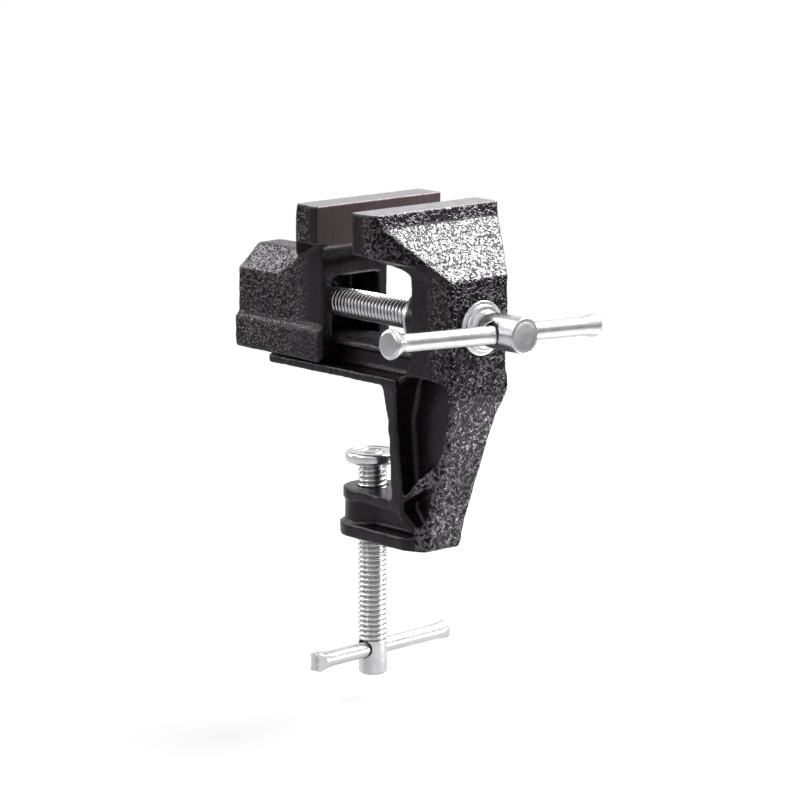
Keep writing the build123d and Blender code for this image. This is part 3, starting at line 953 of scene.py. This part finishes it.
def makeLeadHead():
    # Turned, then drilled across for the handle.
    kit = lead
    shoulder, washerFace = (kit["front"] - outwards - headLow for outwards in kit["shoulder"])
    neck, neckEnd = kit["crest"] - kit["neckUnder"], washerFace + kit["neck"]
    piece = lathe("leadHead", rounded([
        (0, 0.3 * mm), (3.6 * mm, 0.16 * mm, 1), (4.6 * mm, 0, 0.5), (kit["headRadius"], 0, 1),
        (kit["headRadius"], shoulder), (kit["shoulderRadius"], shoulder, 0.5),
        (kit["shoulderRadius"], washerFace, 0.5), (neck, washerFace), (neck, neckEnd), (0, neckEnd),
    ], kit["headEdge"]), leadPlace(headLow), plating)
    reach, hole = kit["drill"], kit["hole"]
    drill = lathe("headDrill", [
        (0, -reach), (hole, -reach), (hole, reach), (0, reach),
    ], handlePlace((0, leadBar["holeY"], kit["axisZ"]), leadBar["tilt"], 0, 0), plating, 64)
    cut = piece.modifiers.new("hole", "BOOLEAN")
    cut.operation = "DIFFERENCE"
    cut.object = drill
    settle(piece)
    bpy.data.objects.remove(drill)
    voxelise(piece, kit["headVoxel"])
    relax(piece.data, 6, lambda points, normals: (0.3, 0.3))
    return piece


leadHead = makeLeadHead()
snapTurned(
    leadHead.data, ((0, 0, lead["axisZ"]), (0, 1, 0)),
    [lead["headRadius"], lead["shoulderRadius"]], [headLow], lead["snap"],
)
writePoints(leadHead.data, insideBox(readPoints(leadHead.data), "lead_screw"))
leadHead.data.shade_smooth()
dress(leadHead, plating, facedSteel)
for face in leadHead.data.polygons:
    faced = face.normal.y < -0.9 and face.center.y < headLow + lead["faceDepth"]
    face.material_index = int(faced)


def ringPiece(name, node, edge, material):
    # A turned ring along Y that fills the box of its CAD node, with eased edges.
    low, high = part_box(node)
    outer, thick, bore = (high.x - low.x) / 2, high.y - low.y, lead["ringBore"]
    # Two points on the flat keep its shading level.
    profile = rounded([
        (bore, 0, 1), (outer * 0.82, 0), (outer * 0.84, 0), (outer, 0, 1),
        (outer, thick, 1), (bore, thick, 1),
    ], edge)
    return lathe(name, profile, leadPlace(low.y), material, 112)


thrustWasher = ringPiece("thrustWasher", "thrust_washer", 0.35 * mm, turnedPlating)
thrustCollar = ringPiece("thrustCollar", "thrust_collar", 0.45 * mm, plainSteel)


def facet(mesh, place, point, normal):
    # Presses one flat into an end: whatever stands beyond the plane is laid onto it.
    frameIn = place.inverted()
    normal = Vector(normal).normalized()
    for vertex in mesh.vertices:
        local = frameIn @ vertex.co
        over = (local - Vector(point)).dot(normal)
        if over > 0:
            vertex.co = place @ (local - normal * over)
    mesh.update()


def makeLeadHandle():
    kit = leadBar
    place = handlePlace((0, kit["holeY"], lead["axisZ"]), kit["tilt"], 0, kit["sag"])
    left, right, r = -kit["left"], kit["right"], kit["radius"]
    lip, straight = kit["lip"], left + kit["flare"] + 2 * mm
    profile = [
        (0, left), (kit["flareRadius"] - lip, left, 0.6),
        (kit["flareRadius"], left + lip, 1), (kit["flareRadius"], left + lip * 2, 1),
        (r + 0.1 * mm, left + kit["flare"] + 0.4 * mm, 1), (r, straight, 1),
    ]
    profile += [(r, straight + step * kit["ringGap"]) for step in range(1, 24)]
    profile += [
        (r, right - kit["bulge"] - 1.6 * mm, 2), (kit["bulgeRadius"], right - kit["bulge"] / 2, 2),
        (kit["bulgeRadius"] - 0.15 * mm, right - kit["bulge"] / 4, 1),
        (kit["bulgeRadius"] - kit["bulge"] / 4, right, 1.4), (0, right),
    ]
    piece = lathe("leadHandle", rounded(profile, kit["edge"], 5), place, plating)
    facet(piece.data, place, (-2.0 * mm, 3.3 * mm, left), (-0.55, 0.83, -0.30))
    piece.data.set_sharp_from_angle(angle=math.radians(kit["sharp"]))
    return piece


leadHandle = makeLeadHandle()
print("lead screw done")


# Clamp screw, along +Z

clamp = {
    "padTop": -25 * mm,
    "threadTop": -28.65 * mm,
    "threadEnd": -85.55 * mm,
    "shankEnd": -96.55 * mm,
    "crest": 4.64 * mm,
    "chamfer": 0.8 * mm,
    "shankRadius": 4.5 * mm,
    "barZ": -88.15 * mm,
    "turn": 4.0,
    "overlap": 0.2 * mm,  # how far the thread reaches into the shank
    "shankVoxel": 0.17 * mm,
    "snap": 0.12 * mm,
}

threadFoot = clamp["threadEnd"] - clamp["overlap"]
clampThread = threadedRod(
    "clampThread", clamp["crest"],
    clamp["threadTop"] - clamp["threadEnd"] + clamp["overlap"], clamp["chamfer"],
    Matrix.Translation((0, 0, threadFoot)), clampPlating,
)
clampShank = cutCopy("clamp_screw", "clampShank", (0, 0, clamp["threadEnd"] - 0.01 * mm), (0, 0, 1))
voxelise(clampShank, clamp["shankVoxel"])
relax(clampShank.data, 8, lambda points, normals: (0.35, 0.35))
snapTurned(
    clampShank.data, ((0, 0, 0), (0, 0, 1)), [clamp["shankRadius"]],
    [clamp["shankEnd"]], clamp["snap"],
)
clampShank.data.shade_smooth()
dress(clampShank, plating)

rivet = {
    "outline": [
        (0, 0.1), (2.6, 0, 1), (3.4, -0.5, 1), (3.4, -1.2, 0.5), (2.5, -1.2, 0.4), (2.5, -3.6),
        (0, -3.6),
    ],
    "edge": 0.4 * mm,
    "top": clamp["padTop"] - 0.3 * mm,
}
pad = {
    "outline": [
        (2.75, -3.6, 0.6), (7.6, -3.6, 1), (8.5, -2.7, 1), (8.5, -0.7, 1), (7.9, 0, 1),
        (6.6, 0, 0.5), (6.4, -0.2, 0.5), (4.3, -0.2, 0.5), (3.65, -0.5, 0.5), (3.65, -1.65),
        (2.75, -1.65),
    ],
    "edge": 0.5 * mm,
    "top": clamp["padTop"],
}


def standing(name, kit, material, segments):
    # A turned piece on the clamp screw's axis, its outline in mm under its top.
    outline = rounded(inMetres(kit["outline"]), kit["edge"])
    return lathe(name, outline, Matrix.Translation((0, 0, kit["top"])), material, segments)


clampRivet = standing("clampRivet", rivet, plainSteel, 64)
clampPad = standing("clampPad", pad, plating, 96)

clampBar = {
    "left": 26.0 * mm,
    "right": 32.8 * mm,
    "radius": 2.5 * mm,
    "swage": 6.0 * mm,
    "swageRadius": 3.5 * mm,
    "flare": 3.5 * mm,
    "flareRadius": 3.1 * mm,
    "sag": 0.4 * mm,
    "edge": 0.9 * mm,
    "ringGap": 3 * mm,  # rings along the bar keep its shading even
    "sharp": 32,
}


def makeClampHandle():
    kit = clampBar
    place = handlePlace((0, 0, clamp["barZ"]), 0, clamp["turn"], kit["sag"])
    left, right, r = -kit["left"], kit["right"], kit["radius"]
    swaged = left + kit["swage"] + 0.5 * mm
    profile = [
        (0, left), (kit["swageRadius"] - 0.3 * mm, left, 0.6),
        (kit["swageRadius"], left + 0.5 * mm, 1),
        (kit["swageRadius"] - 0.3 * mm, left + 2.5 * mm, 1), (r, swaged, 2),
    ]
    profile += [(r, swaged + step * kit["ringGap"]) for step in range(1, 15)]
    profile += [
        (r, right - kit["flare"] - 1.5 * mm, 2),
        (kit["flareRadius"] - 0.1 * mm, right - 1.2 * mm, 1),
        (kit["flareRadius"], right - 0.5 * mm, 1),
        (kit["flareRadius"] - 0.5 * mm, right, 0.8), (0, right),
    ]
    piece = lathe("clampHandle", rounded(profile, kit["edge"], 5), place, plating)
    # The left end is pressed to a blunt wedge with a crease across it, and the right end flatter.
    for point, normal in (
        ((0, 1.5 * mm, left), (0, 1, -0.45)),
        ((0, -1.5 * mm, left), (0, -1, -0.45)),
        ((2.6 * mm, 0, left), (1, 0, -0.30)),
        ((0, 2.3 * mm, right), (0, 1, 0.25)),
        ((0, -2.3 * mm, right), (0, -1, 0.25)),
    ):
        facet(piece.data, place, point, normal)
    piece.data.set_sharp_from_angle(angle=math.radians(kit["sharp"]))
    return piece


clampHandle = makeClampHandle()
print("clamp screw done")

# The rolled pin keeps its CAD shape
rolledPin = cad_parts["collar_pin"]
dress(rolledPin, plainSteel)

for body, slot, nodes, pieces in (
    ("frame", "black_paint", ["clamp_frame"], [clampFrame]),
    ("jaw", "black_paint", ["sliding_jaw"], [slidingJaw]),
    ("lead", "plated_steel", ["lead_screw"], [leadHead, leadThread]),
    ("lead", "plated_steel", ["thrust_washer"], [thrustWasher]),
    ("lead", "plain_steel", ["thrust_collar"], [thrustCollar]),
    ("lead_bar", "plated_steel", ["lead_handle"], [leadHandle]),
    ("clamp", "plated_steel", ["clamp_screw"], [clampThread, clampShank, clampRivet]),
    ("pad", "plated_steel", ["clamp_pad"], [clampPad]),
    ("clamp_bar", "plated_steel", ["clamp_handle"], [clampHandle]),
):
    for piece in pieces:
        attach(piece, body)
        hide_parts(*nodes)
print("pieces ride on their bodies")


# Studio: a pale floor, soft boxes and an even sky

studio = {
    "floorSize": 4.0,
    "floorDrop": 7.5 * mm,  # room for the clamp screw at its lower limit
    "floorColour": (0.27, 0.27, 0.275),
    "floorWhite": 0.70,
    "floorMirror": 0.30,  # share of that white which gloss misses near the object
    "floorFade": (0.12, 0.75),  # where the floor turns into plain white, in metres
    "skyLight": 0.42,
    "skyGloss": (0.32, 0.82),  # at the horizon on the camera's side, and elsewhere
    "skyBack": (-0.2, 0.7),
    "skyAbove": (0.1, 0.6),
    "aim": (0, -0.035, -0.02),
    "boxes": [
        # name, azimuth, elevation, distance, width, height, watts
        ("keyBox", 84.0, 51.0, 1.05, 0.68, 0.68, 22.0),
        ("backBox", -165.0, 42.0, 1.3, 0.70, 0.50, 5.0),
        ("leftBox", -100.0, 35.0, 1.2, 0.25, 0.60, 2.4),
        ("rearBox", -152.0, 12.0, 1.3, 0.40, 0.20, 2.0),
        ("lowBox", 52.0, -26.0, 0.16, 0.08, 0.045, 0.14),
    ],
}


def addFloor():
    size = studio["floorSize"]
    low = cadBox[0][2] - studio["floorDrop"]
    floor = placeObject("floor", freshMesh("floor", [
        (-size, -size, low), (size, -size, low), (size, size, low), (-size, size, low),
    ], [(0, 1, 2, 3)]))
    finish = Finish(
        "paleFloor", Base_Color=(*studio["floorColour"], 1), Roughness=0.9, Specular_IOR_Level=0.1
    )
    lit = Signal(finish, finish.shader.outputs[0])
    glow = finish.white("ShaderNodeEmission", studio["floorWhite"])
    near = finish.node("ShaderNodeAddShader", None, {0: lit, 1: glow})
    x, y = finish.axes(finish.place)[:2]
    away = (x * x + y * y).smooth(*(reach ** 2 for reach in studio["floorFade"]))
    dimmed = 1 - (1 - away.smooth(0.0, 0.5)) * studio["floorMirror"]
    seen = finish.mixShaders(away, near, finish.white("ShaderNodeEmission", 1.0))
    mirrored = finish.mixShaders(dimmed, near, lit)
    unseen = finish.mixShaders(finish.ray("Is Glossy Ray"), lit, mirrored)
    surface = finish.mixShaders(finish.ray("Is Camera Ray"), unseen, seen)
    finish.feed(finish.tree.nodes["Material Output"].inputs["Surface"], surface)
    floor.data.materials.append(finish.material)


def addSky():
    world = bpy.data.worlds.new("sky")
    bpy.context.scene.world = world
    world.use_nodes = True
    kit = NodeKit(world.node_tree)
    kit.tree.nodes.clear()
    direction = kit.node("ShaderNodeTexCoord", output="Generated")

    def along(axis):
        return kit.node(
            "ShaderNodeVectorMath", {"operation": "DOT_PRODUCT"}, {0: direction, 1: axis}, "Value"
        )

    back = along(-towards(view["azimuth"], 0)).smooth(*studio["skyBack"])
    above = along((0, 0, 1)).smooth(*studio["skyAbove"])
    dark, pale = studio["skyGloss"]
    glow = kit.node(
        "ShaderNodeMapRange", None,
        {"Value": back.maths("MAXIMUM", back, above), "To Min": dark, "To Max": pale},
    )
    dim, gloss, white = (
        kit.white("ShaderNodeBackground", strength) for strength in (studio["skyLight"], glow, 1.0)
    )
    shiny = kit.mixShaders(kit.ray("Is Glossy Ray"), dim, gloss)
    seen = kit.mixShaders(kit.ray("Is Camera Ray"), shiny, white)
    kit.feed(kit.tree.nodes.new("ShaderNodeOutputWorld").inputs["Surface"], seen)


def addBoxes():
    for name, azimuth, elevation, distance, width, height, watts in studio["boxes"]:
        lamp = bpy.data.lights.new(name, "AREA")
        lamp.shape = "RECTANGLE"
        lamp.size = width
        lamp.size_y = height
        lamp.energy = watts
        box = placeObject(name, lamp)
        direction = towards(azimuth, elevation)
        box.location = Vector(studio["aim"]) + direction * distance
        box.rotation_euler = (-direction).to_track_quat("-Z", "Y").to_euler()
        box.visible_camera = False


addFloor()
addSky()
addBoxes()
bpy.context.scene.view_settings.view_transform = "Standard"
print("studio done")
